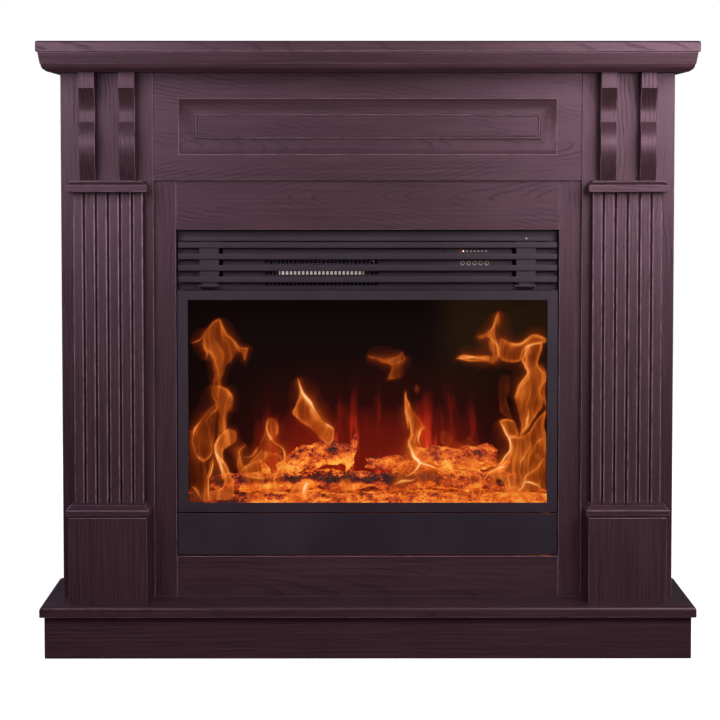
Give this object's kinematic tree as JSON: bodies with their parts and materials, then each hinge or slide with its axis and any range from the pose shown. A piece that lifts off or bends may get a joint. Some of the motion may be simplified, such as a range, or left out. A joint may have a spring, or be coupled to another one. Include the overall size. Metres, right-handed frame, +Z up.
{
  "type": "electric fireplace",
  "caption": "Free-standing electric fireplace: dark oak mantel surround with fluted pilasters and corbels round a steel insert with flip-down louvre, controls, glass, logs and flame light.",
  "frame": {"origin": "centre of the footprint, on the floor", "axes": "+X to the right as seen from the front, -Y is the front, +Z up"},
  "size_m": [1.028, 0.32, 0.964],
  "materials": {
    "dark_oak": "dark stained oak under satin lacquer",
    "raw_board": "plain board, unfinished, out of sight",
    "black_steel": "black powder coat, satin",
    "bare_steel": "zinc plated",
    "smoked_glass": "clear toughened glass, lightly smoked",
    "black_plastic": "fine moulded texture",
    "circuit_board": "solder-masked board",
    "white_board": "white light strip",
    "indicator_red": "clear tinted light pipes",
    "heater_ceramic": "matt fired ceramic",
    "fan_aluminium": "pressed sheet",
    "paddle_metal": "bright reflecting foil",
    "motor_steel": "plated motor can",
    "flame_screen": "dark translucent acrylic",
    "ember_resin": "cast resin embers, lit from below",
    "charred_log": "cast resin, charred bark colours"
  },
  "bodies": {
    "root": {"mantel_shelf": "dark_oak", "cornice_board": "dark_oak", "frieze_board": "dark_oak", "pilaster_board_left": "dark_oak", "pilaster_board_right": "dark_oak", "corbel_left_outer": "dark_oak", "corbel_left_inner": "dark_oak", "corbel_right_inner": "dark_oak", "corbel_right_outer": "dark_oak", "pilaster_cap_left": "dark_oak", "pilaster_cap_right": "dark_oak", "fluted_panel_left": "dark_oak", "fluted_panel_right": "dark_oak", "base_moulding_left": "dark_oak", "base_moulding_right": "dark_oak", "plinth_block_left": "dark_oak", "plinth_block_right": "dark_oak", "stile_left": "dark_oak", "stile_right": "dark_oak", "top_rail": "dark_oak", "bottom_rail": "dark_oak", "side_panel_left": "dark_oak", "side_panel_right": "dark_oak", "hearth_board": "dark_oak", "plinth_front": "dark_oak", "plinth_left": "dark_oak", "plinth_right": "dark_oak", "back_battens": "raw_board", "insert_shelf": "raw_board", "firebox_casing": "black_steel", "back_cover": "black_steel", "fascia_panel": "black_steel", "outlet_grille": "black_steel", "hinge_brackets": "black_steel", "hinge_pins": "bare_steel", "glass_frame": "black_steel", "glass_pane": "smoked_glass", "lower_trim": "black_steel", "control_panel": "black_plastic", "control_board": "circuit_board", "indicator_lights": "indicator_red", "heater_element": "heater_ceramic", "blower_housing": "black_steel", "blower_motor": "motor_steel", "flame_screen": "flame_screen", "flicker_motor": "motor_steel", "light_board": "white_board", "ember_bed": "ember_resin", "log_set": "charred_log", "cord_gland": "black_plastic", "cover_screws": "bare_steel"},
    "louvre": {"louvre_blades": "black_steel", "louvre_straps": "black_steel"},
    "button_1": {"button_1": "black_plastic"},
    "button_2": {"button_2": "black_plastic"},
    "button_3": {"button_3": "black_plastic"},
    "button_4": {"button_4": "black_plastic"},
    "button_5": {"button_5": "black_plastic"},
    "blower_rotor": {"blower_wheel": "fan_aluminium"},
    "flicker_rotor": {"flicker_rod": "paddle_metal"}
  },
  "joints": [
    {"name": "louvre_flip", "type": "hinge", "parent": "root", "child": "louvre", "pos_m": [0, -0.048, 0.5805], "axis": [1, 0, 0], "range_deg": [0, 80]},
    {"name": "button_1_push", "type": "slide", "parent": "root", "child": "button_1", "axis": [0, 1, 0], "range_m": [0, 0.0015], "stiffness_N_per_m": 400},
    {"name": "button_2_push", "type": "slide", "parent": "root", "child": "button_2", "axis": [0, 1, 0], "range_m": [0, 0.0015], "stiffness_N_per_m": 400},
    {"name": "button_3_push", "type": "slide", "parent": "root", "child": "button_3", "axis": [0, 1, 0], "range_m": [0, 0.0015], "stiffness_N_per_m": 400},
    {"name": "button_4_push", "type": "slide", "parent": "root", "child": "button_4", "axis": [0, 1, 0], "range_m": [0, 0.0015], "stiffness_N_per_m": 400},
    {"name": "button_5_push", "type": "slide", "parent": "root", "child": "button_5", "axis": [0, 1, 0], "range_m": [0, 0.0015], "stiffness_N_per_m": 400},
    {"name": "blower_spin", "type": "hinge", "parent": "root", "child": "blower_rotor", "pos_m": [-0.073, 0.018, 0.6135], "axis": [1, 0, 0], "continuous": true},
    {"name": "flicker_spin", "type": "hinge", "parent": "root", "child": "flicker_rotor", "pos_m": [0, 0.092, 0.2], "axis": [1, 0, 0], "continuous": true}
  ]
}
